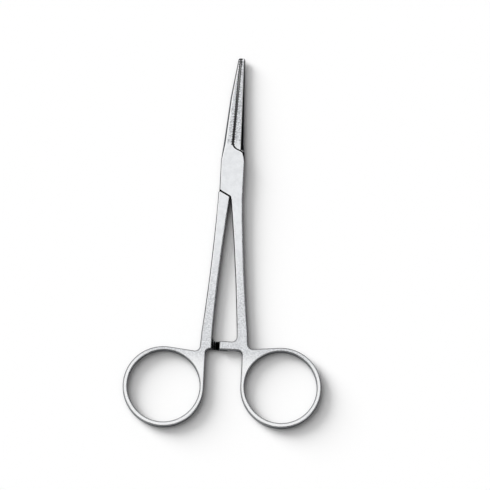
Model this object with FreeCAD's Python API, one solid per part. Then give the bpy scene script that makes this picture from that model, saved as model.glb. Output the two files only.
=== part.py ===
import FreeCAD, Part
import math
import os
from dataclasses import dataclass
from FreeCAD import Vector

# A box lock hemostat, closed on its ratchet and lying flat. Millimetres and degrees.
# The pivot stands on the Z axis, the jaws point along +Y, and the table is the plane Z = 0.

# Lock
lock_width = 7.9
lock_thickness = 3.6
shoulder_height = 3.5       # pivot to where the jaws start to narrow
shank_root = 9.5            # pivot to where the shanks leave the lock
edge_round = 0.5            # outer edges of the lock and shank roots
seam_round = 0.2            # edges along the seams between the halves
seam_gap = 0.25

# Tongue and the slot that it runs through
tongue_thickness = 1.3
tongue_play = 0.05          # above and below the tongue
tongue_side_gap = 0.12
slot_lean = 30.0            # slot walls against the long axis

# Pivot pin, peened into a countersink at each end
pin_radius = 1.3
pin_play = 0.04             # radial, in the tongue
peen_depth = 0.35
peen_flare = 0.3

# Seams, as they show on the lock's faces
upper_seam = 7.97           # pivot to the seam, beside the parting line
upper_seam_fall = 24.0      # slope of the seam towards the lock's side
upper_seam_round = 2.4
upper_cheek_inset = 0.95    # corner of the cheek, from the lock's side
upper_cheek_length = 3.5
upper_cheek_round = 1.5
lower_seam = 8.6            # pivot to the seam, beside the shanks
lower_seam_rise = 28.0
lower_seam_round = 0.9
lower_cheek_round = 2.2
head_round = 0.6            # corners of the left shank's head

# Jaws
jaw_length = 38.7           # pivot to the tip
jaw_root = 9.2              # pivot to where the jaws part
jaw_middle = 25.0
jaw_lean = 2.4              # parting line against the long axis
parting_offset = -0.7       # parting line at the pivot
box_jaw_root_width = 3.05   # from the parting line out
box_jaw_middle_width = 2.25
box_jaw_tip_width = 0.9
tongue_jaw_root_width = 3.7
tongue_jaw_middle_width = 2.45
tongue_jaw_tip_width = 1.5
jaw_root_round = 1.3
jaw_middle_thickness = 2.4
jaw_middle_round = 1.0
tip_thickness = 1.6
nose_length = 0.9           # rounded end of the jaws
nose_width_loss = 0.6       # at each side, where the nose ends
nose_thickness_loss = 0.5   # above and below
root_gap = 0.4              # between the jaws, at the lock
tip_gap = 0.06

# Cross serrations of the jaws
serration_pitch = 0.86
serration_depth = 0.32
serration_land = 0.2
serration_start = 0.65      # jaw root to the first groove's middle

# Shanks
shank_gap = 0.4             # between the shanks, below the lock
shank_step = 0.33           # left shank beyond the lock's side
waist_height = 38.0         # pivot to the slimmest section
waist_width = 3.2
waist_thickness = 2.9
waist_round = 0.7
foot_rise = 3.9             # ratchet's middle up to where the shank's foot starts
foot_width = 3.65
foot_thickness = 3.0
foot_bevel = 0.4            # edges of the foot, ring and ratchet bar

# Finger rings
ring_radius = 13.35
ring_band = 1.5
ring_bulge = 0.3            # hole beyond round, towards the shank
shoulder_slope = 6.0        # slope of the web from ring to shank
foot_straight = 0.5         # straight start of the foot's outer edge, then its bend
outer_bend = 8.0
outer_fillet = 1.6
inner_fillet = 1.5          # between ring and ratchet bar

# Ratchet
ratchet_height = 58.75      # pivot to the middle of both bars
upper_bar_end = 1.3         # free end of the upper bar, past the long axis
upper_teeth = 4
lower_teeth = 7
bar_height = 2.8
bar_fillet = 1.6
bar_gap = 0.06              # between the crests of the two bars
tooth_pitch = 0.7
tooth_depth = 0.45


@dataclass(frozen=True)
class Arm:
    """One shank with its ring and ratchet bar, drawn outwards from the long axis."""

    side: int               # +1 right, -1 left
    root: float             # shank's middle at the lock, from the long axis
    waist: float
    foot: float
    ring_inner: float       # ring's inner side, from the long axis
    ring_drop: float        # ring's top, below the ratchet's middle
    bar_end: float          # ratchet bar's free end, past the long axis
    teeth: int

    @property
    def ring(self):
        """Ring's centre, from the long axis."""
        return self.ring_inner + ring_radius

    @property
    def ring_height(self):
        """Ring's centre, below the pivot."""
        return ratchet_height + self.ring_drop + ring_radius


# Worked out from the sizes above
half_width = lock_width / 2
root_width = (lock_width + shank_step - shank_gap) / 2
box_arm = Arm(side=1, root=half_width - root_width / 2, waist=4.62, foot=6.12, ring_inner=6.35,
              ring_drop=-0.2, bar_end=upper_bar_end, teeth=upper_teeth)
tongue_arm = Arm(side=-1, root=half_width + shank_step - root_width / 2, waist=4.32, foot=5.57,
                 ring_inner=5.65, ring_drop=1.3,
                 bar_end=upper_teeth * tooth_pitch - upper_bar_end, teeth=lower_teeth)

middle = lock_thickness / 2
foot_height = ratchet_height - foot_rise
slot_thickness = tongue_thickness + 2 * tongue_play
slot_reach = half_width / math.cos(math.radians(slot_lean))
outside = 4 * lock_width    # past every side of the lock and jaws

# Rules for the shapes
fullest = 0.9               # a rounding or bevel is at most this share of half its wall
flat = 1e-5                 # closer than this is level, or the same point
nose_angles = (0, 30, 60, 90)
Z_AXIS = Vector(0, 0, 1)
bevel = min(foot_bevel, fullest * (ring_band - ring_bulge / 2) / 2)


def parting(y):
    """Place of the jaws' parting line at the height y."""
    return parting_offset + y * math.tan(math.radians(jaw_lean))


def gap(y):
    """Width of the gap between the jaws at the height y."""
    share = (y - jaw_root) / (jaw_length - jaw_root)
    return root_gap + share * (tip_gap - root_gap)


# Outlines and solids from corners

def outline(corners):
    """Closed wire of straight runs and tangent arcs; each corner is (x, y, radius)."""
    stretches = []
    for number, (x, y, radius) in enumerate(corners):
        corner = Vector(x, y, 0)
        back = Vector(*corners[number - 1][:2], 0) - corner
        ahead = Vector(*corners[(number + 1) % len(corners)][:2], 0) - corner
        back.normalize()
        ahead.normalize()
        half_angle = back.getAngle(ahead) / 2
        inward = back + ahead
        if radius and inward.Length:
            inward.normalize()
            reach = radius / math.tan(half_angle)
            depth = radius / math.sin(half_angle) - radius
            stretches.append((corner + back * reach, corner + inward * depth, corner + ahead * reach))
        else:
            stretches.append((corner, None, corner))
    edges = []
    for number, (start, crown, end) in enumerate(stretches):
        following = stretches[(number + 1) % len(stretches)][0]
        if crown:
            edges.append(Part.Arc(start, crown, end).toShape())
        if end.distanceToPoint(following) > flat:
            edges.append(Part.makeLine(end, following))
    return Part.Wire(edges)


def slab(corners, bottom, top):
    """Plate with the outline of the corners, from bottom to top."""
    face = Part.Face(outline(corners))
    face.translate(Vector(0, 0, bottom))
    return face.extrude(Vector(0, 0, top - bottom))


def rims(solid):
    """Edges that outline the top and the bottom of a plate."""
    box = solid.BoundBox
    return [edge for edge in solid.Edges if edge.BoundBox.ZLength < flat
            and min(edge.BoundBox.ZMin - box.ZMin, box.ZMax - edge.BoundBox.ZMax) < flat]


def rounded(solid, radius):
    """Plate with its rims rounded."""
    return solid.makeFillet(radius, rims(solid))


def section(y, left, right, thickness, edge, bevelled=False):
    """Cross section of the bar or a shank at the height y, with rounded or bevelled corners."""
    half = thickness / 2
    cut = min(edge, fullest * half, fullest * (right - left) / 2)
    if bevelled:
        corners = [(left, cut - half, 0), (left + cut, -half, 0), (right - cut, -half, 0),
                   (right, cut - half, 0), (right, half - cut, 0), (right - cut, half, 0),
                   (left + cut, half, 0), (left, half - cut, 0)]
    else:
        corners = [(left, -half, cut), (right, -half, cut), (right, half, cut), (left, half, cut)]
    wire = outline(corners)
    wire.rotate(Vector(), Vector(1, 0, 0), 90)
    wire.translate(Vector(0, y, middle))
    return wire


# Lock and jaws

def forged_bar():
    """Bar that the lock and both jaws are cut from, out to the rounded nose."""
    sections = [
        section(-shank_root, -half_width, half_width, lock_thickness, edge_round),
        section(shoulder_height, -half_width, half_width, lock_thickness, edge_round),
        section(jaw_root, parting(jaw_root) - box_jaw_root_width,
                parting(jaw_root) + tongue_jaw_root_width, lock_thickness, jaw_root_round),
        section(jaw_middle, parting(jaw_middle) - box_jaw_middle_width,
                parting(jaw_middle) + tongue_jaw_middle_width, jaw_middle_thickness, jaw_middle_round)]
    nose = jaw_length - nose_length
    for angle in nose_angles:
        y = nose + nose_length * math.sin(math.radians(angle))
        loss = 1 - math.cos(math.radians(angle))
        sections.append(section(y, parting(nose) - box_jaw_tip_width + nose_width_loss * loss,
                                parting(nose) + tongue_jaw_tip_width - nose_width_loss * loss,
                                tip_thickness - 2 * nose_thickness_loss * loss, tip_thickness / 2))
    return Part.makeLoft(sections, True, True)


def upper_seam_height(x):
    """Height of the upper seam's straight run at the place x."""
    return upper_seam - (x - parting(jaw_root)) * math.tan(math.radians(upper_seam_fall))


def lower_seam_height(x):
    """Height of the lower seam's straight run at the place x."""
    inner = box_arm.root - root_width / 2
    return -lower_seam + (inner - x) * math.tan(math.radians(lower_seam_rise))


def box_plan():
    """Region of the forged bar that the box half keeps: its jaw and the lock's cheeks."""
    top = jaw_length + outside
    face = parting(upper_seam) - gap(upper_seam) / 2
    cheek = half_width - upper_cheek_inset
    bottom = upper_seam_height(cheek) - (outside - cheek) * upper_cheek_length / upper_cheek_inset
    inner = box_arm.root - root_width / 2
    left = -half_width - seam_gap
    return [(-outside, top, 0), (parting(top) - gap(top) / 2, top, 0),
            (face, upper_seam_height(face), upper_seam_round),
            (cheek, upper_seam_height(cheek), upper_cheek_round),
            (outside, bottom, 0), (inner, bottom, 0), (inner, -lower_seam, lower_seam_round),
            (left, lower_seam_height(left), lower_cheek_round), (left, 0, 0), (-outside, 0, 0)]


def tongue_jaw_plan():
    """Region of the forged bar that the tongue half keeps: its jaw, down to the upper seam."""
    top = jaw_length + outside
    face = parting(upper_seam) + gap(upper_seam) / 2
    return [(outside, top, 0), (outside, upper_seam_height(outside) + seam_gap, 0),
            (face, upper_seam_height(face) + seam_gap, upper_seam_round),
            (parting(top) + gap(top) / 2, top, 0)]


def tongue_head_plan():
    """Outline of the left shank's head, from below the lock up to the lower seam."""
    outer = -tongue_arm.root - root_width / 2
    inner = -tongue_arm.root + root_width / 2
    below = -shank_root - lock_width
    return [(outer, below, 0), (inner, below, 0),
            (inner, lower_seam_height(inner) - seam_gap, head_round),
            (outer, lower_seam_height(outer) - seam_gap, head_round)]


def slot_strip(reach):
    """Corners of the strip between two leaning walls, the given reach from the pivot."""
    lean = math.radians(90 - slot_lean)
    along = Vector(math.cos(lean), math.sin(lean), 0)
    across = Vector(-along.y, along.x, 0)
    ends = (along * outside + across * reach, along * -outside + across * reach,
            along * -outside - across * reach, along * outside - across * reach)
    return [(corner.x, corner.y, 0) for corner in ends]


def serrations():
    """Row of V grooves across the faces of both jaws."""
    grooves = []
    half = (serration_pitch - serration_land) / 2
    slope = math.tan(math.radians(jaw_lean))
    first = jaw_root + serration_start
    count = int((jaw_length - nose_length - first) / serration_pitch)
    for number in range(count):
        y = first + number * serration_pitch
        x = parting(y)
        depth = serration_depth + gap(y) / 2
        grooves.append(slab([(x - half * slope, y - half, 0), (x + depth, y, 0),
                             (x + half * slope, y + half, 0), (x - depth, y, 0)],
                            -lock_thickness, 2 * lock_thickness))
    return Part.makeCompound(grooves)


# Pivot

def pin(clearance):
    """Pin with flared ends, or the hole for it where there is a clearance."""
    radius = pin_radius + clearance
    flare = radius + peen_flare
    profile = Part.makePolygon([Vector(0, 0, 0), Vector(flare, 0, 0), Vector(radius, 0, peen_depth),
                                Vector(radius, 0, lock_thickness - peen_depth),
                                Vector(flare, 0, lock_thickness), Vector(0, 0, lock_thickness),
                                Vector(0, 0, 0)])
    return Part.Face(profile).revolve(Vector(), Z_AXIS, 360)


# Arms: shank, finger ring and ratchet bar, drawn on the right and mirrored for the left

def shank(arm):
    """Shank from the lock down to its foot."""
    return Part.makeLoft([
        section(-shank_root, arm.root - root_width / 2, arm.root + root_width / 2,
                lock_thickness, edge_round),
        section(-waist_height, arm.waist - waist_width / 2, arm.waist + waist_width / 2,
                waist_thickness, waist_round),
        section(-foot_height, arm.foot - foot_width / 2, arm.foot + foot_width / 2,
                foot_thickness, bevel, bevelled=True),
    ], True, False)


def foot_plan(arm, with_bar):
    """Outline of the shank's foot and its ring, with or without the ratchet bar."""
    outer = arm.foot + foot_width / 2
    inner = arm.foot - foot_width / 2
    slope = math.tan(math.radians(shoulder_slope))
    lean = math.atan2(arm.foot - arm.waist, foot_height - waist_height)
    bend_y = -foot_height - foot_straight - outer_bend * math.tan(lean / 2)
    ring_top = -arm.ring_height + ring_radius / math.cos(math.radians(shoulder_slope))

    def shoulder(x):
        return ring_top + (x - arm.ring) * slope

    corner_x = outer + math.tan(lean) * (bend_y - shoulder(outer))
    far_x = arm.ring + ring_radius
    near_x = arm.ring_inner
    bottom = -arm.ring_height - ring_radius
    bar_top = -ratchet_height + bar_height / 2
    bar_bottom = bar_top - bar_height
    hollow = min(inner_fillet, fullest * (near_x - inner - bevel))
    corners = [(outer, -foot_height, 0), (outer, bend_y, outer_bend),
               (corner_x, shoulder(corner_x), outer_fillet),
               (far_x, shoulder(far_x), ring_radius), (far_x, bottom, ring_radius),
               (near_x, bottom, ring_radius), (near_x, bar_bottom, hollow)]
    if with_bar:
        corners += [(-arm.bar_end, bar_bottom, 0), (-arm.bar_end, bar_top, 0), (inner, bar_top, bar_fillet)]
    else:
        corners += [(inner, bar_bottom, 0)]
    return corners + [(inner, -foot_height, 0)]


def ring_hole(arm):
    """Finger hole, a little longer towards the shank than across."""
    radius = ring_radius - ring_band
    direction = Vector(arm.foot - arm.ring, arm.ring_height - foot_height, 0).normalize()
    centre = Vector(arm.ring, -arm.ring_height, 0) + direction * (ring_bulge / 2)
    ellipse = Part.Ellipse(Vector(), radius + ring_bulge / 2, radius).toShape()
    ellipse.rotate(Vector(), Z_AXIS, math.degrees(math.atan2(direction.y, direction.x)))
    ellipse.translate(centre)
    return Part.Face(Part.Wire(ellipse)).extrude(Vector(0, 0, lock_thickness))


def ratchet_teeth(arm, face, inward):
    """Saw teeth cut into a bar's face; inward is the way into the bar, +1 or -1."""
    cuts = []
    for number in range(arm.teeth):
        wall = -arm.bar_end + number * tooth_pitch
        profile = Part.makePolygon([Vector(wall, 0, face - inward * bar_gap),
                                    Vector(wall, 0, face + inward * tooth_depth),
                                    Vector(wall + tooth_pitch, 0, face),
                                    Vector(wall + tooth_pitch, 0, face - inward * bar_gap),
                                    Vector(wall, 0, face - inward * bar_gap)])
        cut = Part.Face(profile).extrude(Vector(0, 2 * bar_height, 0))
        cut.translate(Vector(0, -ratchet_height - bar_height, 0))
        cuts.append(cut)
    return Part.makeCompound(cuts)


def foot(arm):
    """Foot of the shank with its finger ring and its half of the ratchet."""
    bottom = middle - foot_thickness / 2
    top = middle + foot_thickness / 2
    if arm.side > 0:
        face = middle + bar_gap / 2
        bar = slab(foot_plan(arm, True), face, top)
        inward = 1
    else:
        face = middle - bar_gap / 2
        bar = slab(foot_plan(arm, True), bottom, face)
        inward = -1
    whole = slab(foot_plan(arm, False), bottom, top).fuse(bar).removeSplitter()
    whole = whole.cut(ring_hole(arm)).cut(ratchet_teeth(arm, face, inward))
    below_cut = [edge for edge in rims(whole) if edge.BoundBox.YMin < -foot_height - flat]
    return whole.makeChamfer(bevel, below_cut)


def arm_solid(arm):
    """Shank, ring and ratchet bar on the arm's own side of the long axis."""
    whole = shank(arm).fuse(foot(arm))
    return whole if arm.side > 0 else whole.mirror(Vector(), Vector(1, 0, 0))


# The three pieces

def box_half():
    """Left jaw, lock cheeks, right shank and ring, and the upper ratchet bar."""
    cheeks = rounded(slab(box_plan(), 0, lock_thickness), seam_round)
    body = forged_bar().common(cheeks).fuse(arm_solid(box_arm))
    slot = slab(slot_strip(slot_reach), middle - slot_thickness / 2, middle + slot_thickness / 2)
    return body.cut(slot).cut(pin(0)).cut(serrations()).removeSplitter()


def tongue_half():
    """Right jaw, tongue, left shank and ring, and the lower ratchet bar."""
    jaw = forged_bar().common(rounded(slab(tongue_jaw_plan(), 0, lock_thickness), seam_round))
    strip = slab(slot_strip(slot_reach - tongue_side_gap),
                 middle - tongue_thickness / 2, middle + tongue_thickness / 2)
    tongue = forged_bar().common(strip)
    head = rounded(slab(tongue_head_plan(), 0, lock_thickness), edge_round)
    below = Part.makeBox(2 * outside, outside, lock_thickness, Vector(-outside, -shank_root - outside, 0))
    body = jaw.fuse(tongue).fuse(head.cut(below)).fuse(arm_solid(tongue_arm))
    return body.cut(pin(pin_play)).cut(serrations()).removeSplitter()


def pivot_pin():
    """Pin that both halves turn on."""
    return pin(0)


NODES = {"box_half": box_half, "tongue_half": tongue_half, "pivot_pin": pivot_pin}


def main():
    """Write one STEP file for each piece."""
    os.makedirs("parts", exist_ok=True)
    for name, build in NODES.items():
        shape = build()
        shape.exportStep(f"parts/{name}.step")
        print(name, len(shape.Solids), shape.isValid(), round(shape.Volume, 2))


main()
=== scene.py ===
"""Looks of a small box lock hemostat: satin steel forgings and a flush pin, on a white table."""

from __future__ import annotations

import logging
import math
from dataclasses import dataclass
from enum import Enum

import bmesh
import bpy
from mathutils import Matrix, Vector

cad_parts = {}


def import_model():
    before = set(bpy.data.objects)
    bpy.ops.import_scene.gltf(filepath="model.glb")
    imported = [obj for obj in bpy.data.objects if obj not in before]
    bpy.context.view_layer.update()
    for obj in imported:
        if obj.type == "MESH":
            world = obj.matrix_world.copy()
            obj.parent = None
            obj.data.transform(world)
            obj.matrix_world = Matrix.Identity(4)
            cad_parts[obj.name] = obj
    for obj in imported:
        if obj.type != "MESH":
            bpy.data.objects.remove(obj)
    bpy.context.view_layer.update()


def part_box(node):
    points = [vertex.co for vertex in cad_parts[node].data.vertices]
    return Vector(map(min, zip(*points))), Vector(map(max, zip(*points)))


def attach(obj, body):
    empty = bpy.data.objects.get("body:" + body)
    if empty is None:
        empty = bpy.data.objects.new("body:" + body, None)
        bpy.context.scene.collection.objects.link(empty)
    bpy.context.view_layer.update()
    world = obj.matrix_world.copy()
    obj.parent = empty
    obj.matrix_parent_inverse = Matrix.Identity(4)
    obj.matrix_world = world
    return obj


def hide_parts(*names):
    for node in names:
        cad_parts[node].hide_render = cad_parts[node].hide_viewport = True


log = logging.getLogger("hemostat")

Socket = bpy.types.NodeSocket
Colour = tuple[float, float, float]
Point = tuple[float, float, float]
Span = tuple[float, float]

MM = 0.001
RING_RADIUS = 13.35 * MM
WHITE = (1.0, 1.0, 1.0, 1.0)


class Slot(Enum):
    """Material slots of the record."""

    STEEL = "steel"


class Body(Enum):
    """Bodies that the hinge joins."""

    BOX_SIDE = "box_side"
    TONGUE_SIDE = "tongue_side"


class Ray(Enum):
    """Kinds of ray that Light Path tells apart."""

    CAMERA = "Is Camera Ray"
    GLOSSY = "Is Glossy Ray"
    TRANSMISSION = "Is Transmission Ray"


# Node trees

class Graph:
    """A node tree under construction."""

    def __init__(self, tree: bpy.types.NodeTree) -> None:
        """Start with an empty tree.

        Args:
            tree: Tree whose nodes this graph makes.
        """
        self.tree = tree
        tree.nodes.clear()

    def add(self, kind: str, values: dict | None = None, **settings: object) -> bpy.types.Node:
        """Make a node.

        Args:
            kind: Blender's type name of the node.
            values: Input name or number, to a plain value or to the socket that feeds it.
            settings: Properties of the node itself, set before its inputs.

        Returns:
            The new node.
        """
        node = self.tree.nodes.new(kind)
        for name, setting in settings.items():
            setattr(node, name, setting)
        for key, value in (values or {}).items():
            if isinstance(value, Socket):
                self.tree.links.new(value, node.inputs[key])
            else:
                node.inputs[key].default_value = value
        return node

    def split(self, vector: object) -> bpy.types.bpy_prop_collection:
        """Split a vector.

        Args:
            vector: Vector, or the socket that gives it.

        Returns:
            Outputs X, Y and Z.
        """
        return self.add("ShaderNodeSeparateXYZ", {0: vector}).outputs

    def math(self, operation: str, first: object, second: object = 0.0,
             clamp: bool = False) -> Socket:
        """Work out a number.

        Args:
            operation: Blender's name of the operation.
            first: Number, or the socket that gives it.
            second: The second number, where the operation takes two.
            clamp: Whether the result stays between zero and one.

        Returns:
            The result.
        """
        return self.add("ShaderNodeMath", {0: first, 1: second}, operation=operation,
                        use_clamp=clamp).outputs[0]

    def vector_math(self, operation: str, first: object, second: object) -> Socket:
        """Work out a vector.

        Args:
            operation: Blender's name of the operation.
            first: Vector, or the socket that gives it.
            second: The second vector.

        Returns:
            The result.
        """
        return self.add("ShaderNodeVectorMath", {0: first, 1: second},
                        operation=operation).outputs[0]

    def shrink(self, vector: object, unit: object) -> Socket:
        """Measure a vector in another unit.

        Args:
            vector: Vector, or the socket that gives it.
            unit: Length that counts as one.

        Returns:
            The vector divided by the unit.
        """
        spread = self.add("ShaderNodeCombineXYZ", {0: unit, 1: unit, 2: unit}).outputs[0]
        return self.vector_math("DIVIDE", vector, spread)

    def ramp(self, value: object, start: float, end: float, low: float = 0.0,
             high: float = 1.0) -> Socket:
        """Carry a value smoothly from one range over to another.

        Args:
            value: Number, or the socket that gives it.
            start: Value that becomes low.
            end: Value that becomes high.
            low: Result at the start and before it.
            high: Result at the end and past it.

        Returns:
            The result.
        """
        return self.add("ShaderNodeMapRange", {0: value, 1: start, 2: end, 3: low, 4: high},
                        interpolation_type="SMOOTHSTEP").outputs[0]

    def choose(self, share: object, otherwise: object, chosen: object) -> Socket:
        """Go from one number to another.

        Args:
            share: Share of the chosen number, from zero to one.
            otherwise: Number at share zero.
            chosen: Number at share one.

        Returns:
            The number between them.
        """
        values = {0: share, 2: otherwise, 3: chosen}
        return self.add("ShaderNodeMix", values, data_type="FLOAT").outputs[0]

    def blend(self, share: object, otherwise: object, chosen: object) -> Socket:
        """Go from one colour to another.

        Args:
            share: Share of the chosen colour, from zero to one.
            otherwise: Colour at share zero, plain or as a socket.
            chosen: Colour at share one, plain or as a socket.

        Returns:
            The colour between them.
        """
        colours = {key: (*value, 1.0) if isinstance(value, tuple) else value
                   for key, value in ((6, otherwise), (7, chosen))}
        return self.add("ShaderNodeMix", {0: share, **colours}, data_type="RGBA").outputs[2]


def new_group(name: str, kind: str, inputs: dict[str, tuple[str, object]],
              outputs: dict[str, str]) -> Graph:
    """Make a node group with named sockets.

    Args:
        name: Name of the group.
        kind: Blender's type name of the tree.
        inputs: Input name, to the socket's type and its default.
        outputs: Output name, to the socket's type.

    Returns:
        Graph of the group, with nothing in it yet.
    """
    graph = Graph(bpy.data.node_groups.new(name, kind))
    for label, (socket_type, default) in inputs.items():
        socket = graph.tree.interface.new_socket(label, in_out="INPUT", socket_type=socket_type)
        if default is not None:
            socket.default_value = default
    for label, socket_type in outputs.items():
        graph.tree.interface.new_socket(label, in_out="OUTPUT", socket_type=socket_type)
    return graph


def new_effect(name: str, numbers: dict[str, float], outputs: tuple[str, ...],
               placed: bool = True) -> Graph:
    """Make a shader node group that puts out masks.

    Args:
        name: Name of the group.
        numbers: Name of each number that goes in, to its default.
        outputs: Names of the masks.
        placed: Whether the group also takes the place on the surface, as Vector.

    Returns:
        Graph of the group, with nothing in it yet.
    """
    inputs = {"Vector": ("NodeSocketVector", None)} if placed else {}
    inputs |= {label: ("NodeSocketFloat", default) for label, default in numbers.items()}
    return new_group(name, "ShaderNodeTree", inputs, dict.fromkeys(outputs, "NodeSocketFloat"))


def levelness(graph: Graph) -> Socket:
    """Find how level the surface lies.

    Args:
        graph: Tree in which this is needed.

    Returns:
        One on a level face, above or below, and zero on an upright one.
    """
    normal = graph.add("ShaderNodeNewGeometry").outputs["Normal"]
    return graph.math("ABSOLUTE", graph.split(normal)["Z"])


def seen_rays(graph: Graph) -> Socket:
    """Tell the rays that show a thing from those that only light by it.

    Args:
        graph: Tree in which this is needed.

    Returns:
        One for camera, glossy and transmission rays, and zero for the rest.
    """
    path = graph.add("ShaderNodeLightPath").outputs
    total = graph.math("ADD", path[Ray.CAMERA.value], path[Ray.GLOSSY.value])
    return graph.math("ADD", total, path[Ray.TRANSMISSION.value], clamp=True)


# Effects that more than one finish uses

@dataclass(frozen=True)
class Rings:
    """Where the finger rings are, for what runs round them."""

    right: Vector
    left: Vector
    radius: float

    @classmethod
    def from_frame(cls, radius: float) -> Rings:
        """Find the rings at the outer lower corners of the two halves.

        Args:
            radius: Outer radius of a ring.

        Returns:
            The rings' centres and radius.
        """
        box_low, box_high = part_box("box_half")
        tongue_low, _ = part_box("tongue_half")
        return cls(right=Vector((box_high.x - radius, box_low.y + radius, 0.0)),
                   left=Vector((tongue_low.x + radius, tongue_low.y + radius, 0.0)),
                   radius=radius)


class Effects:
    """Shader node groups, each built once."""

    RING_REACH = 1.02
    FINE_DETAIL = 3.0
    FINE_ROUGHNESS = 0.6
    STRAY_SCALE = 0.23
    PATCH_DETAIL = 4.0
    PATCH_ROUGHNESS = 0.55
    PATCH_SPAN: Span = (0.35, 0.65)
    LEVEL_SPAN: Span = (0.3, 0.7)

    def __init__(self, rings: Rings) -> None:
        """Build the groups.

        Args:
            rings: Finger rings, which the grinding follows.
        """
        self.rings = rings
        self.grinding = self.build_grinding()
        self.mottle = self.build_mottle()
        self.edges = self.build_edges()
        self.painted_dark_line = self.build_painted_dark_line()

    def build_grinding(self) -> bpy.types.NodeTree:
        """Build the fine lines that the belt leaves, along the shanks and round the rings.

        Returns:
            Group that puts out Lines.
        """
        graph = new_effect("grinding_lines", {"Pitch": 0.12 * MM, "Run": 40.0, "Strays": 0.35},
                           ("Lines",))
        put_in = graph.add("NodeGroupInput").outputs
        point = put_in["Vector"]
        along = graph.split(point)
        across, run = along["X"], along["Y"]
        for centre in (self.rings.right, self.rings.left):
            flat = graph.vector_math("MULTIPLY", graph.vector_math("SUBTRACT", point, centre),
                                     (1.0, 1.0, 0.0))
            distance = graph.add("ShaderNodeVectorMath", {0: flat},
                                 operation="LENGTH").outputs["Value"]
            parts = graph.split(flat)
            angle = graph.math("ARCTAN2", parts["Y"], parts["X"])
            inside = graph.math("LESS_THAN", distance, self.rings.radius * self.RING_REACH)
            across = graph.choose(inside, across, distance)
            run = graph.choose(inside, run, graph.math("MULTIPLY", angle, self.rings.radius))
        place = graph.add("ShaderNodeCombineXYZ", {
            "X": across, "Y": graph.math("DIVIDE", run, put_in["Run"]), "Z": along["Z"]})
        scaled = graph.shrink(place.outputs[0], put_in["Pitch"])
        fine = graph.add("ShaderNodeTexNoise", {
            "Vector": scaled, "Scale": 1.0, "Detail": self.FINE_DETAIL,
            "Roughness": self.FINE_ROUGHNESS})
        strays = graph.add("ShaderNodeTexNoise", {
            "Vector": scaled, "Scale": self.STRAY_SCALE, "Detail": 1.0})
        lines = graph.math("ADD", fine.outputs[0],
                           graph.math("MULTIPLY", strays.outputs[0], put_in["Strays"]))
        graph.add("NodeGroupOutput", {"Lines": lines})
        return graph.tree

    def build_mottle(self) -> bpy.types.NodeTree:
        """Build soft uneven patches, as handling and tumbling leave them.

        Returns:
            Group that puts out Mask.
        """
        graph = new_effect("soft_mottle", {"Patch Size": 1.5 * MM}, ("Mask",))
        put_in = graph.add("NodeGroupInput").outputs
        noise = graph.add("ShaderNodeTexNoise", {
            "Vector": graph.shrink(put_in["Vector"], put_in["Patch Size"]), "Scale": 1.0,
            "Detail": self.PATCH_DETAIL, "Roughness": self.PATCH_ROUGHNESS})
        graph.add("NodeGroupOutput", {"Mask": graph.ramp(noise.outputs[0], *self.PATCH_SPAN)})
        return graph.tree

    def build_edges(self) -> bpy.types.NodeTree:
        """Build the zones of an edge, from its rim, which takes a painted highlight, down to the
        upright wall, which takes painted shade.

        Returns:
            Group that puts out Rim, Flank, Line and Wall.
        """
        starts = {"Rim": (0.995, 0.96), "Flank": (0.93, 0.80), "Line": (0.83, 0.75),
                  "Wall": (0.58, 0.42)}
        numbers = {}
        for zone, (start, full) in starts.items():
            numbers |= {f"{zone} Start": start, f"{zone} Full": full}
        graph = new_effect("edge_zones", numbers, tuple(starts), placed=False)
        put_in = graph.add("NodeGroupInput").outputs
        level = levelness(graph)
        zones = {zone: graph.ramp(level, put_in[f"{zone} Start"], put_in[f"{zone} Full"])
                 for zone in starts}
        zones["Rim"] = graph.math("SUBTRACT", zones["Rim"], zones["Flank"], clamp=True)
        graph.add("NodeGroupOutput", zones)
        return graph.tree

    def build_painted_dark_line(self) -> bpy.types.NodeTree:
        """Build a painted dark line along the jaws' level faces, wider at each groove if it has a
        bite.

        Returns:
            Group that puts out Mask.
        """
        graph = new_effect("painted_dark_line", {
            "Offset": 0.0, "Lean": 0.0, "Start": 0.0, "Half Width": 0.5 * MM,
            "Softness": 0.1 * MM, "Bite": 0.0, "Pitch": 1.0 * MM, "First Groove": 0.0}, ("Mask",))
        put_in = graph.add("NodeGroupInput").outputs
        place = graph.split(put_in["Vector"])
        run = place["Y"]
        line = graph.math("ADD", put_in["Offset"], graph.math("MULTIPLY", run, put_in["Lean"]))
        distance = graph.math("ABSOLUTE", graph.math("SUBTRACT", place["X"], line))
        grooves = graph.math("DIVIDE", graph.math("SUBTRACT", run, put_in["First Groove"]),
                             put_in["Pitch"])
        wave = graph.math("COSINE", graph.math("MULTIPLY", grooves, math.tau))
        edge = graph.math("ADD", put_in["Half Width"],
                          graph.math("MULTIPLY", wave, put_in["Bite"]))
        past = graph.math("DIVIDE", graph.math("SUBTRACT", distance, edge), put_in["Softness"])
        begun = graph.math("GREATER_THAN", run, put_in["Start"])
        level = graph.ramp(levelness(graph), *self.LEVEL_SPAN)
        mask = graph.math("MULTIPLY", graph.ramp(past, 0.5, -0.5),
                          graph.math("MULTIPLY", begun, level))
        graph.add("NodeGroupOutput", {"Mask": mask})
        return graph.tree


# Finishes

@dataclass(frozen=True)
class PaintedDarkLine:
    """Painted dark line that leans with the jaws, for painted shade and painted dark reflections.
    """

    offset: float
    lean: float
    start: float
    half_width: float
    softness: float
    bite: float = 0.0
    pitch: float = 0.86 * MM
    first_groove: float = 9.85 * MM

    def mask(self, graph: Graph, effects: Effects, place: Socket) -> Socket:
        """Put the line in a material.

        Args:
            graph: The material's graph.
            effects: Shared shader node groups.
            place: Object coordinates.

        Returns:
            Share of the painted shade colour.
        """
        values = {"Vector": place, "Offset": self.offset, "Lean": self.lean, "Start": self.start,
                  "Half Width": self.half_width, "Softness": self.softness, "Bite": self.bite,
                  "Pitch": self.pitch, "First Groove": self.first_groove}
        return graph.add("ShaderNodeGroup", values, node_tree=effects.painted_dark_line).outputs["Mask"]


# Painted shade in the slit between the jaws, and a painted dark reflection along the right jaw's
# outer edge.
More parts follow.
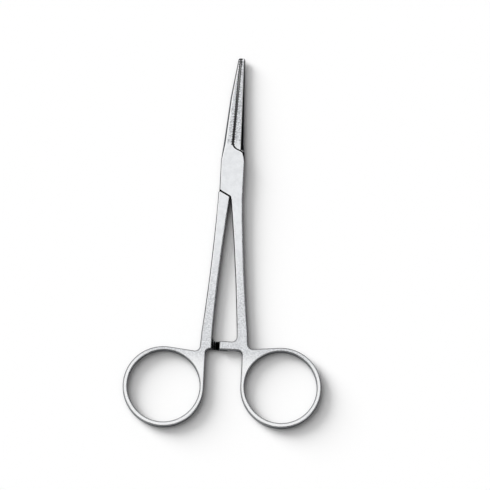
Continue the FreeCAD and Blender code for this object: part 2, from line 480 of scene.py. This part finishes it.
PARTING_SHADE = PaintedDarkLine(offset=-0.7 * MM, lean=math.tan(math.radians(2.4)), start=8.8 * MM,
                   half_width=0.46 * MM, softness=0.10 * MM, bite=0.16 * MM)
OUTER_EDGE_DARK_REFLECTION = PaintedDarkLine(offset=3.13 * MM, lean=-0.0072, start=7.1 * MM, half_width=0.80 * MM,
                      softness=0.30 * MM)


@dataclass(frozen=True)
class SteelFinish:
    """Stainless steel, ground along its length and lightly mottled, with painted highlights on the
    edge rims and painted shade on flanks, walls, jaw lines and crevices.
    """

    name: str
    colour: Colour = (0.85, 0.865, 0.885)
    dull_colour: Colour = (0.80, 0.815, 0.835)
    speckle_colour: Colour = (0.42, 0.43, 0.45)
    # Painted highlight on the edge rims; the rings also blend towards it as their polish.
    highlight_and_polish_colour: Colour = (0.96, 0.965, 0.97)
    # Painted shade on the sloping flanks, on the dark line along them and on the upright walls.
    flank_shade_colour: Colour = (0.42, 0.43, 0.445)
    shade_line_colour: Colour = (0.05, 0.051, 0.054)
    wall_shade_colour: Colour = (0.38, 0.387, 0.40)
    # Painted shade for the dark jaw lines and for crevices that occlusion finds.
    painted_shade_colour: Colour = (0.005, 0.005, 0.006)
    grazing_tint: Colour = (0.42, 0.43, 0.45)
    roughness: float = 0.28
    patch_roughness: float = 0.34
    rim_roughness: float = 0.18
    flank_roughness: float = 0.22
    # Reach, levels and samples of the occlusion that places painted shade.
    shade_reach: float = 1.5 * MM
    shade_open: float = 0.995
    shade_deep: float = 0.80
    shade_samples: int = 8
    line_pitch: float = 0.12 * MM
    line_depth: float = 0.0015 * MM
    patch_size: float = 1.4 * MM
    speckle_size: float = 0.48 * MM
    jaw_start: Span = (8.5 * MM, 10.5 * MM)
    shank_start: Span = (-22.0 * MM, -46.0 * MM)
    foot_end: Span = (-60.0 * MM, -66.0 * MM)
    lock_speckle: float = 0.06
    shank_speckle: float = 0.55
    ring_polish: float = 0.75
    # Share of the painted shade line kept on the rings.
    ring_shade_line: float = 0.80
    # Painted dark lines on the jaws.
    painted_dark_lines: tuple[PaintedDarkLine, ...] = (PARTING_SHADE, OUTER_EDGE_DARK_REFLECTION)

    def build(self, effects: Effects) -> bpy.types.Material:
        """Make the material.

        Args:
            effects: Shared shader node groups.

        Returns:
            The finished material.
        """
        material = bpy.data.materials.new(self.name)
        material.use_nodes = True
        graph = Graph(material.node_tree)
        place = graph.add("ShaderNodeTexCoord").outputs["Object"]
        patches = self.patches(graph, effects, place, self.patch_size)
        zones = graph.add("ShaderNodeGroup", node_tree=effects.edges).outputs
        lines = graph.add("ShaderNodeGroup", {"Vector": place, "Pitch": self.line_pitch},
                          node_tree=effects.grinding)
        bump = graph.add("ShaderNodeBump", {"Height": lines.outputs["Lines"],
                                            "Distance": self.line_depth, "Strength": 1.0})
        colour = self.ground_colour(graph, effects, place, patches)
        colour = self.edged_colour(graph, place, zones, colour)
        colour = self.with_painted_shade(graph, effects, place, colour)
        shader = graph.add("ShaderNodeBsdfPrincipled", {
            "Base Color": colour, "Metallic": 1.0,
            "Roughness": self.uneven_roughness(graph, patches, zones),
            "Normal": bump.outputs[0], "Specular Tint": (*self.grazing_tint, 1.0)})
        graph.add("ShaderNodeOutputMaterial", {"Surface": shader.outputs[0]})
        return material

    @staticmethod
    def patches(graph: Graph, effects: Effects, place: Socket, size: float) -> Socket:
        """Put uneven patches in the material.

        Args:
            graph: The material's graph.
            effects: Shared shader node groups.
            place: Object coordinates.
            size: Size of a patch.

        Returns:
            Mask of the patches.
        """
        return graph.add("ShaderNodeGroup", {"Vector": place, "Patch Size": size},
                         node_tree=effects.mottle).outputs["Mask"]

    def ground_colour(self, graph: Graph, effects: Effects, place: Socket,
                      patches: Socket) -> Socket:
        """Colour the ground faces, with grey flecks that are strong on the jaws.

        Args:
            graph: The material's graph.
            effects: Shared shader node groups.
            place: Object coordinates.
            patches: Mask of the dull patches.

        Returns:
            The colour.
        """
        height = graph.split(place)["Y"]
        on_jaw = graph.ramp(height, *self.jaw_start, self.lock_speckle, 1.0)
        on_shank = graph.ramp(height, *self.shank_start, 0.0, self.shank_speckle)
        speckle = graph.math("MULTIPLY", self.patches(graph, effects, place, self.speckle_size),
                             graph.math("ADD", on_jaw, on_shank, clamp=True))
        colour = graph.blend(patches, self.colour, self.dull_colour)
        colour = graph.blend(speckle, colour, self.speckle_colour)
        return graph.blend(graph.ramp(height, *self.foot_end, 0.0, self.ring_polish), colour,
                           self.highlight_and_polish_colour)

    def edged_colour(self, graph: Graph, place: Socket, zones: bpy.types.bpy_prop_collection,
                     colour: Socket) -> Socket:
        """Paint a highlight on the rims, and paint shade on the flanks, on the dark line along
        them and on the walls.

        Args:
            graph: The material's graph.
            place: Object coordinates.
            zones: Masks of the edge zones.
            colour: Colour of the ground faces.

        Returns:
            The colour with its painted highlight and shade.
        """
        on_shank = graph.ramp(graph.split(place)["Y"], *self.foot_end, 1.0, self.ring_shade_line)
        # Painted highlight on the rims; painted shade on the flanks, their dark line (weaker on
        # the rings) and the walls.
        line = graph.math("MULTIPLY", zones["Line"], on_shank)
        for share, chosen in ((zones["Rim"], self.highlight_and_polish_colour), (zones["Flank"], self.flank_shade_colour),
                              (line, self.shade_line_colour), (zones["Wall"], self.wall_shade_colour)):
            colour = graph.blend(share, colour, chosen)
        return colour

    def with_painted_shade(self, graph: Graph, effects: Effects, place: Socket,
                        colour: Socket) -> Socket:
        """Paint shade on the line between the jaws, a dark reflection along the right jaw's outer
        edge, and shade in every crevice that occlusion finds.

        Args:
            graph: The material's graph.
            effects: Shared shader node groups.
            place: Object coordinates.
            colour: Colour without the painted shade.

        Returns:
            The colour with them.
        """
        # Painted dark lines along the jaws.
        for line in self.painted_dark_lines:
            colour = graph.blend(line.mask(graph, effects, place), colour, self.painted_shade_colour)
        # Painted shade where ambient occlusion finds a crevice.
        occlusion = graph.add("ShaderNodeAmbientOcclusion", {"Distance": self.shade_reach},
                              samples=self.shade_samples)
        occluded_shade = graph.ramp(occlusion.outputs["AO"], self.shade_open, self.shade_deep)
        return graph.blend(occluded_shade, colour, self.painted_shade_colour)

    def uneven_roughness(self, graph: Graph, patches: Socket,
                         zones: bpy.types.bpy_prop_collection) -> Socket:
        """Make the patches rougher, and the rims and flanks smoother.

        Args:
            graph: The material's graph.
            patches: Mask of the dull patches.
            zones: Masks of the edge zones.

        Returns:
            The roughness.
        """
        roughness = graph.ramp(patches, 0.0, 1.0, self.roughness, self.patch_roughness)
        roughness = graph.choose(zones["Rim"], roughness, self.rim_roughness)
        return graph.choose(zones["Flank"], roughness, self.flank_roughness)


# Pieces of the instrument

def new_object(name: str, data: bpy.types.ID) -> bpy.types.Object:
    """Make an object in the scene.

    Args:
        name: Name of the object.
        data: Its mesh, lamp or camera.

    Returns:
        The new object.
    """
    thing = bpy.data.objects.new(name, data)
    bpy.context.scene.collection.objects.link(thing)
    return thing


class SkinTree:
    """Geometry Nodes tree that turns loose triangles into one smooth skin with crisp creases."""

    WELD = "Weld Distance"
    CREASE = "Crease Angle"
    FOOT_CREASE = "Foot Crease Angle"
    FOOT_START = "Foot Start"
    FINISH = "Finish"

    def __init__(self) -> None:
        """Build the tree."""
        numbers = (self.WELD, self.CREASE, self.FOOT_CREASE, self.FOOT_START)
        graph = new_group("forging_skin", "GeometryNodeTree", {
            "Geometry": ("NodeSocketGeometry", None),
            **{label: ("NodeSocketFloat", None) for label in numbers},
            self.FINISH: ("NodeSocketMaterial", None)}, {"Geometry": "NodeSocketGeometry"})
        put_in = graph.add("NodeGroupInput").outputs
        welded = graph.add("GeometryNodeMergeByDistance", {
            "Geometry": put_in["Geometry"], "Distance": put_in[self.WELD]})
        smooth = graph.add("GeometryNodeSetShadeSmooth", {
            "Geometry": welded.outputs[0], "Shade Smooth": True})
        height = graph.split(graph.add("GeometryNodeInputPosition").outputs[0])["Y"]
        on_foot = graph.add("FunctionNodeCompare", {0: height, 1: put_in[self.FOOT_START]},
                            data_type="FLOAT", operation="LESS_THAN")
        crease = graph.add("GeometryNodeSwitch", {
            0: on_foot.outputs[0], 1: put_in[self.CREASE], 2: put_in[self.FOOT_CREASE]},
            input_type="FLOAT")
        angle = graph.add("GeometryNodeInputMeshEdgeAngle").outputs["Unsigned Angle"]
        sharp = graph.add("FunctionNodeCompare", {0: angle, 1: crease.outputs[0]},
                          data_type="FLOAT", operation="GREATER_THAN")
        creased = graph.add("GeometryNodeStoreNamedAttribute", {
            "Geometry": smooth.outputs[0], "Name": "sharp_edge", "Value": sharp.outputs[0]},
            data_type="BOOLEAN", domain="EDGE")
        real = graph.add("GeometryNodeRealizeInstances", {"Geometry": creased.outputs[0]})
        dressed = graph.add("GeometryNodeSetMaterial", {
            "Geometry": real.outputs[0], "Material": put_in[self.FINISH]})
        graph.add("NodeGroupOutput", {"Geometry": dressed.outputs[0]})
        self.tree = graph.tree

    def identifier(self, label: str) -> str:
        """Find an input of the tree.

        Args:
            label: Name of the input.

        Returns:
            The input's identifier.

        Raises:
            KeyError: If the tree has no input of that name.
        """
        for item in self.tree.interface.items_tree:
            if item.in_out == "INPUT" and item.name == label:
                return item.identifier
        raise KeyError(label)


@dataclass(frozen=True)
class Forging:
    """One half of the instrument, from jaw to finger ring."""

    node: str
    body: Body
    weld: float = 0.001 * MM
    flatness: float = math.radians(0.3)
    crease: float = math.radians(30.0)
    foot_crease: float = math.radians(50.0)
    foot_start: float = -50.0 * MM

    def build(self, tree: SkinTree, finish: bpy.types.Material) -> bpy.types.Object:
        """Make the half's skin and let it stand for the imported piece.

        Args:
            tree: Tree that smooths the forging.
            finish: Material of the skin.

        Returns:
            The finished piece.
        """
        skin = new_object(f"{self.node}_skin", self.flattened())
        self.dress(skin, tree, finish)
        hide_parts(self.node)
        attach(skin, self.body.value)
        return skin

    def flattened(self) -> bpy.types.Mesh:
        """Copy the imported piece, and join its triangles into whole faces where they lie level.

        Returns:
            The copy.
        """
        mesh = bpy.data.objects[self.node].data.copy()
        forging = bmesh.new()
        forging.from_mesh(mesh)
        bmesh.ops.remove_doubles(forging, verts=forging.verts, dist=self.weld)
        bmesh.ops.dissolve_limit(forging, angle_limit=self.flatness, verts=forging.verts,
                                 edges=forging.edges)
        forging.to_mesh(mesh)
        forging.free()
        return mesh

    def dress(self, skin: bpy.types.Object, tree: SkinTree, finish: bpy.types.Material) -> None:
        """Run the tree on the copy, weight its normals by area and keep the plain result.

        Args:
            skin: The half's skin.
            tree: Tree that smooths the forging.
            finish: Material of the skin.
        """
        smoothing = skin.modifiers.new("skin", "NODES")
        smoothing.node_group = tree.tree
        for label, value in ((tree.WELD, self.weld), (tree.CREASE, self.crease),
                             (tree.FOOT_CREASE, self.foot_crease),
                             (tree.FOOT_START, self.foot_start), (tree.FINISH, finish)):
            smoothing[tree.identifier(label)] = value
        weighted = skin.modifiers.new("area_normals", "WEIGHTED_NORMAL")
        weighted.mode = "FACE_AREA"
        weighted.keep_sharp = True
        graph = bpy.context.evaluated_depsgraph_get()
        mesh = bpy.data.meshes.new_from_object(skin.evaluated_get(graph), depsgraph=graph)
        skin.modifiers.clear()
        skin.data = mesh


@dataclass(frozen=True)
class PivotPin:
    """Pin that holds the lock, ground flush with both faces."""

    node: str = "pivot_pin"

    def dress(self, finish: bpy.types.Material) -> bpy.types.Object:
        """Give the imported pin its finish.

        Args:
            finish: Material of the pin.

        Returns:
            The dressed piece.
        """
        pin = bpy.data.objects[self.node]
        pin.data.materials.clear()
        pin.data.materials.append(finish)
        return pin


# Studio

def towards(heading: float, elevation: float) -> Vector:
    """Find a direction seen from the instrument.

    Args:
        heading: Turn from the jaws' end of the table, to the right.
        elevation: Angle above the table.

    Returns:
        The direction, one long.
    """
    return Vector((math.sin(heading) * math.cos(elevation),
                   math.cos(heading) * math.cos(elevation), math.sin(elevation)))


@dataclass(frozen=True)
class Table:
    """White table top that keeps the instrument's shadow."""

    half_width: float = 6.0
    colour: Colour = (0.985, 0.985, 0.985)
    glow: float = 0.005
    roughness: float = 0.9

    def build(self) -> bpy.types.Object:
        """Make the table top, level with the lock's lower face.

        Returns:
            The table.
        """
        half = self.half_width
        mesh = bpy.data.meshes.new("table_top")
        mesh.from_pydata([(-half, -half, 0.0), (half, -half, 0.0), (half, half, 0.0),
                          (-half, half, 0.0)], [], [(0, 1, 2, 3)])
        mesh.materials.append(self.material())
        table = new_object("table_top", mesh)
        return table

    def material(self) -> bpy.types.Material:
        """Make a matt white that glows faintly for what sees it directly or mirrored.

        Returns:
            The material.
        """
        material = bpy.data.materials.new("white_table")
        material.use_nodes = True
        graph = Graph(material.node_tree)
        shader = graph.add("ShaderNodeBsdfPrincipled", {
            "Base Color": (*self.colour, 1.0), "Roughness": self.roughness,
            "Specular IOR Level": 0.0, "Emission Color": WHITE,
            "Emission Strength": graph.math("MULTIPLY", seen_rays(graph), self.glow)})
        graph.add("ShaderNodeOutputMaterial", {"Surface": shader.outputs[0]})
        return material


@dataclass(frozen=True)
class Softlight:
    """Large soft lamp, far enough away to light the whole table evenly."""

    name: str
    elevation: float
    spread: float
    level: float
    heading: float = math.radians(-56.0)

    def build(self) -> bpy.types.Object:
        """Hang the lamp.

        Returns:
            The lamp, which lights the table to its level and isn't mirrored in the steel.
        """
        lamp = bpy.data.lights.new(self.name, "SUN")
        lamp.angle = self.spread
        lamp.energy = self.level * math.pi / math.sin(self.elevation)
        holder = new_object(self.name, lamp)
        aim = towards(self.heading, self.elevation).to_track_quat("Z", "Y")
        holder.rotation_euler = aim.to_euler()
        holder.visible_glossy = False
        return holder


@dataclass(frozen=True)
class Flag:
    """Black card, hung well away, that gives bright metal its dark edge lines."""

    name: str
    heading: float
    low: float
    high: float
    half_width: float = math.radians(32.0)
    distance: float = 1.2

    def build(self, finish: bpy.types.Material) -> bpy.types.Object:
        """Hang the card between its two elevations, square to its heading.

        Args:
            finish: Black of the card.

        Returns:
            The card, which shows only as a reflection.
        """
        out = towards(self.heading, 0.0) * self.distance
        side = Vector((out.y, -out.x, 0.0)) * math.tan(self.half_width)
        low, high = (Vector((0.0, 0.0, self.distance * math.tan(angle)))
                     for angle in (self.low, self.high))
        mesh = bpy.data.meshes.new(self.name)
        mesh.from_pydata([out - side + low, out + side + low, out + side + high,
                          out - side + high], [], [(0, 1, 2, 3)])
        mesh.materials.append(finish)
        card = new_object(self.name, mesh)
        card.visible_camera = False
        card.visible_diffuse = False
        card.visible_shadow = False
        return card


@dataclass(frozen=True)
class Studio:
    """Table, lamps, cards and camera."""

    aim: Point = (5.45 * MM, -24.8 * MM, 3.6 * MM)
    elevation: float = math.radians(78.7)
    roll: float = math.radians(3.0)
    focal_length: float = 450.0
    view_width: float = 162.0 * MM
    ambient: float = 0.22
    card_colour: Colour = (0.01, 0.01, 0.01)
    lamps: tuple[Softlight, ...] = (
        Softlight("key_lamp", elevation=math.radians(52.0), spread=math.radians(62.0), level=0.37),
        Softlight("side_lamp", elevation=math.radians(24.0), spread=math.radians(32.0),
                  level=0.42))
    flags: tuple[Flag, ...] = (
        Flag("right_flag", heading=math.radians(90.0), low=math.radians(32.0),
             high=math.radians(70.0)),
        Flag("front_flag", heading=math.radians(180.0), low=math.radians(32.0),
             high=math.radians(62.0)))

    def build(self) -> None:
        """Set up everything around the instrument."""
        Table().build()
        for lamp in self.lamps:
            lamp.build()
        black = self.black_card()
        for flag in self.flags:
            flag.build(black)
        self.build_world()
        self.build_camera()
        bpy.context.scene.view_settings.view_transform = "Standard"

    def black_card(self) -> bpy.types.Material:
        """Make the cards' matt black.

        Returns:
            The material.
        """
        material = bpy.data.materials.new("black_card")
        material.use_nodes = True
        graph = Graph(material.node_tree)
        shader = graph.add("ShaderNodeBsdfDiffuse", {"Color": (*self.card_colour, 1.0)})
        graph.add("ShaderNodeOutputMaterial", {"Surface": shader.outputs[0]})
        return material

    def build_world(self) -> None:
        """Make surroundings that look white and give a plain soft light from all round."""
        world = bpy.data.worlds.new("studio")
        bpy.context.scene.world = world
        world.use_nodes = True
        graph = Graph(world.node_tree)
        background = graph.add("ShaderNodeBackground", {
            "Color": WHITE, "Strength": graph.choose(seen_rays(graph), self.ambient, 1.0)})
        graph.add("ShaderNodeOutputWorld", {"Surface": background.outputs[0]})

    def build_camera(self) -> None:
        """Look down on the instrument as the photograph does."""
        camera = bpy.data.cameras.new("camera")
        camera.lens = self.focal_length
        distance = self.view_width * camera.lens / camera.sensor_width
        back = Vector((0.0, -math.cos(self.elevation), math.sin(self.elevation)))
        turn = ((-back).to_track_quat("-Z", "Y").to_matrix()
                @ Matrix.Rotation(self.roll, 3, "Z"))
        holder = new_object("camera", camera)
        holder.matrix_world = (Matrix.Translation(Vector(self.aim) + back * distance)
                               @ turn.to_4x4())
        bpy.context.scene.camera = holder


def main() -> None:
    """Dress the instrument and set up the studio."""
    logging.basicConfig(level=logging.INFO, format="%(name)s: %(message)s")
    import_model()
    effects = Effects(Rings.from_frame(RING_RADIUS))
    steel = SteelFinish("satin_steel").build(effects)
    pin_steel = SteelFinish("pin_steel", roughness=0.34, rim_roughness=0.3).build(effects)
    tree = SkinTree()
    halves = (Forging("box_half", Body.BOX_SIDE), Forging("tongue_half", Body.TONGUE_SIDE))
    pieces = [half.build(tree, steel) for half in halves]
    pieces.append(PivotPin().dress(pin_steel))
    for piece in pieces:
        log.info("%s: %d faces", piece.name, len(piece.data.polygons))
    Studio().build()


if __name__ == "__main__":
    main()
